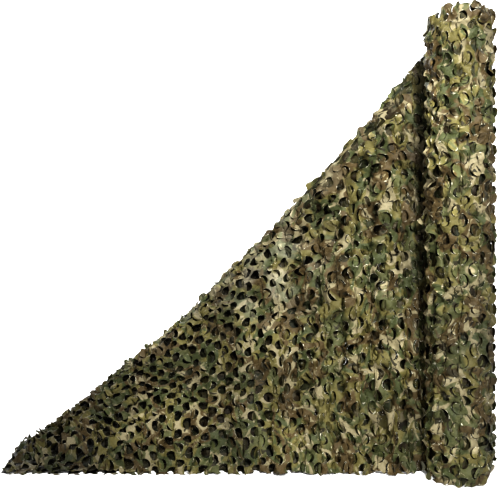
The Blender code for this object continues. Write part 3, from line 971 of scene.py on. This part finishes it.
def looseShade(cloth, s, t, past, byRoll, broad):
    # painted shade and light: each darker or lighter place is a bell curve or a smooth step; painted
    # sheen is laid as the pale reverse
    much, least, low, high = loose["hollowShade"]
    hollow = much * (least + (1.0 - least) * smoothStep(t, low, high))
    border = s + crossingWaves(np.zeros_like(s), t, *loose["hollowWave"])
    cloth["shade"] *= 1.0 - hollow * fadeOut(border, *loose["hollowOut"])
    # painted sheen: a paler patch and a paler crest, laid as the pale reverse
    along, up, spread = loose["reverseAndPaintedSheen"]
    patch = bell(s, loose["paintedSheenShare"], along, spread) * bell(t, 1.0, up, spread)
    patchy = smoothStep(crossingWaves(s, t, *loose["paintedSheenWave"]), -0.9, 0.9)
    crest = bell(past, *loose["paintedSheenCrest"]) * within(s, *loose["paintedSheenOver"])
    cloth["pale"] = np.maximum(cloth["pale"], np.maximum(patch, crest) * patchy)
    much, low, high = loose["tipShade"]
    cloth["shade"] *= 1.0 - much * smoothStep(s, low, high)
    cloth["shade"] *= 1.0 - bell(s, *loose["midShade"])
    much, less, limit = loose["broadShade"]
    cloth["shade"] *= 1.0 + (much - less * byRoll) * np.clip(broad, -limit, limit)


def looseSheet():
    # the draped loose end, lifted along its normal by leaves, rims, small folds, crumples and broad waves
    cloth = leafCutNet(loose["clothLength"], looseManner, loose["seed"])
    place = cloth["place"]
    place[:, 0] = drawnIn(place[:, 0])
    past, _ = foldPlace(*place.T)
    taken = smoothStep(past, *loose["takenFold"]) * smoothStep(place[:, 0], 0.1, 0.5)
    place[:, 1] -= loose["takenUp"] * taken
    free = smoothStep(place[:, 0], *loose["free"])
    byRoll = fadeOut(place[:, 0], *loose["upright"][1])
    place = drawnAbout(place, 61, loose["drawn"] * free)
    s, t = place.T
    past, _ = foldPlace(s, t)
    byFold = smoothStep(past, *loose["byFold"]) * fadeOut(past, 0.0, 0.1)
    rough = np.maximum(np.maximum(byRoll, byFold), smoothStep(s, *loose["byTip"]))
    lift = cloth["lift"] * (0.3 + 0.7 * free) + gathers(s, t)
    for (high, more, *kind), where in zip(loose["crumples"], (byRoll, rough)):
        lift += free * (high + more * where) * crossingWaves(s, t, 1.0, *kind)
    broad = crossingWaves(s, t, *loose["broad"])
    lift += loose["broadHeight"] * free * broad * (1.0 - byFold)
    points = offSurface(drape, place, lift, 1.0)
    up, forward = raggedHem(s, t)
    points[:, 2] += up
    points[:, 1] -= forward
    looseShade(cloth, s, t, past, byRoll, broad)
    cloth["uv"] = cloth["flat"] + [turnLength * roll["turnsShown"], 2.3]
    obj = meshFrom("netSheetFront", points, cloth["faces"], cloth)
    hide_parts("net_sheet")


# the second layer, close behind the loose end and painted dark for the shade it lies in, with its leaves
# all but shut

second = {
    "seed": 31,
    "first": (0.77, 0.29),  # its first cut's centre, in cells
    "bend": 2.0,  # degrees, either way
    "free": (0.03, 0.3),  # where it comes free of the roll: a range
    "back": 0.003,  # it lies this far back throughout
    "gap": 0.024,  # and this much further where it is free
    "close": 0.8,  # but on the fold that is this much less
    "closeBy": 0.10,
    "crumple": (0.003, 72, 0.06, 0.14),
    "shade": 0.22,
    "shadeNear": 0.16,  # so much lighter beside the roll, where it lies close behind
    "near": (0.42, 0.75),
    "tipShade": (0.6, 1.0, 1.4),
    "foldShade": (0.55, -0.08, 0.15),  # darker by the fold: how much, middle, spread
    "uvShift": (0.37, 0.81),
}


def innerManner(s, t, rng):
    # a little bend either way, and no relief
    count = len(s)
    bend = np.radians(second["bend"] * rng.uniform(-1.0, 1.0, count))
    twist = 0.05 * rng.uniform(-1.0, 1.0, count)
    return bend, bend, twist, np.zeros((count, 3)), np.ones(count)


def innerSheet():
    # the same draped surface, set back by a gap that narrows on the fold; its print is turned over
    cloth = leafCutNet(fold["length"], innerManner, second["seed"], second["first"], 1.0)
    s, t = cloth["place"].T
    free = smoothStep(s, *second["free"])
    past, _ = foldPlace(s, t)
    onFold = bell(past, 1.0, 0.0, second["closeBy"])
    lift = cloth["lift"] * free - second["back"] - second["gap"] * free * (1.0 - second["close"] * onFold)
    lift += free * (1.0 - onFold) * crossingWaves(s, t, *second["crumple"]) + gathers(s, t)
    points = offSurface(drape, cloth["place"], lift, 1.0)
    # painted shade: the layer is dark, a little lighter beside the roll, darker towards the tip and by
    # the fold
    cloth["shade"] *= second["shade"] + second["shadeNear"] * fadeOut(s, *second["near"])
    much, low, high = second["tipShade"]
    cloth["shade"] *= 1.0 - much * smoothStep(s, low, high)
    cloth["shade"] *= 1.0 - bell(past, *second["foldShade"]) * smoothStep(s, 0.1, 0.3)
    cloth["uv"] = cloth["flat"][:, ::-1] + second["uvShift"]
    obj = meshFrom("netSheetBehind", points, cloth["faces"], cloth)


rollCore()
roundSheet()
looseSheet()
innerSheet()
print("net built")


# stage, lights and camera

studio = {
    "floorFlat": 6.0,  # radius of the flat run
    "floorRings": (0.01, 1.0, 3.0),
    "floorRound": 4.0,  # radius of the sweep up
    "around": 64,
    "wallTop": 7.0,
    "floorColour": 0.86,
    "floorRoughness": 0.9,
    "floorGlow": 0.06,
    "air": 0.09,  # light from all sides
    # name, place, what it is turned to, size, watts, spread in degrees
    "lights": (
        ("keyLight", (0.05, -2.9, 2.3), (0.08, 0.0, 1.22), 0.5, 105.0, 110.0),
        ("topLight", (-0.3, -0.9, 4.2), (-0.4, 0.2, 0.8), 1.2, 105.0, 180.0),
        ("wallLightLeft", (-4.5, 3.2, 3.6), (-3.5, 10.0, 2.0), 2.5, 520.0, 180.0),
        ("wallLightRight", (3.5, 3.2, 3.6), (2.5, 10.0, 2.0), 2.5, 520.0, 180.0),
        ("backLight", (-1.6, 3.6, 3.4), (-0.5, 0.3, 0.5), 1.6, 110.0, 180.0),
    ),
    "cameraPlace": (-0.676, -2.136, 0.75),
    "lens": 47.52,  # millimetres, on a sensor this wide
    "sensor": 36.0,
}


def stageBowl():
    # a pale floor that sweeps up all round: a flat run, a quarter circle and a wall, turned about Z
    sweep, around = studio["floorRound"], studio["around"]
    bend = np.linspace(0.0, 0.5 * np.pi, 12)
    r = np.concatenate([studio["floorRings"], studio["floorFlat"] + sweep * np.sin(bend)])
    r = np.append(r, r[-1])
    z = np.concatenate([[0.0, 0.0, 0.0], sweep * (1.0 - np.cos(bend)), [studio["wallTop"]]])
    turn = 2 * np.pi * np.arange(around) / around
    points = roundAxis(r, turn[:, None], np.tile(z, (around, 1)))
    index = np.arange(around * len(r)).reshape(around, -1)
    after = np.roll(index, -1, axis=0)
    faces = np.stack([index[:, :-1], index[:, 1:], after[:, 1:], after[:, :-1]], axis=-1).reshape(-1, 4)
    faces = faces.tolist() + [index[::-1, 0].tolist()]
    mesh = bpy.data.meshes.new("studioFloor")
    mesh.from_pydata(points.reshape(-1, 3).tolist(), [], faces)
    mesh.shade_smooth()
    material = bpy.data.materials.new("paleFloor")
    material.use_nodes = True
    shader = material.node_tree.nodes["Principled BSDF"]
    shader.inputs["Base Color"].default_value = (*[studio["floorColour"]] * 3, 1.0)
    shader.inputs["Roughness"].default_value = studio["floorRoughness"]
    shader.inputs["Emission Color"].default_value = (1.0, 1.0, 1.0, 1.0)
    shader.inputs["Emission Strength"].default_value = studio["floorGlow"]
    mesh.materials.append(material)
    obj = bpy.data.objects.new("studioFloor", mesh)
    bpy.context.scene.collection.objects.link(obj)


def softLight(name, place, aim, size, power, spread):
    # a disk of light; it is pitched and turned so that it faces its aim
    lamp = bpy.data.lights.new(name, "AREA")
    lamp.shape = "DISK"
    lamp.size = size
    lamp.energy = power
    lamp.spread = math.radians(spread)
    obj = bpy.data.objects.new(name, lamp)
    obj.location = place
    away = np.array(place) - np.array(aim)
    pitch = math.atan2(math.hypot(away[0], away[1]), away[2])
    obj.rotation_euler = (pitch, 0.0, math.atan2(away[0], -away[1]))
    bpy.context.scene.collection.objects.link(obj)


stageBowl()
for light in studio["lights"]:
    softLight(*light)

world = bpy.data.worlds.new("studioAir")
world.use_nodes = True
air = world.node_tree.nodes["Background"]
air.inputs["Color"].default_value = (1.0, 1.0, 1.0, 1.0)
air.inputs["Strength"].default_value = studio["air"]
scene = bpy.context.scene
scene.world = world
scene.view_settings.view_transform = "Standard"
scene.view_settings.look = "High Contrast"

lens = bpy.data.cameras.new("frontView")
lens.sensor_fit = "HORIZONTAL"
lens.sensor_width = studio["sensor"]
lens.lens = studio["lens"]
camera = bpy.data.objects.new("frontView", lens)
camera.location = studio["cameraPlace"]
camera.rotation_euler = (0.5 * math.pi, 0.0, 0.0)
scene.collection.objects.link(camera)
scene.camera = camera
print("stage, lights and camera set")
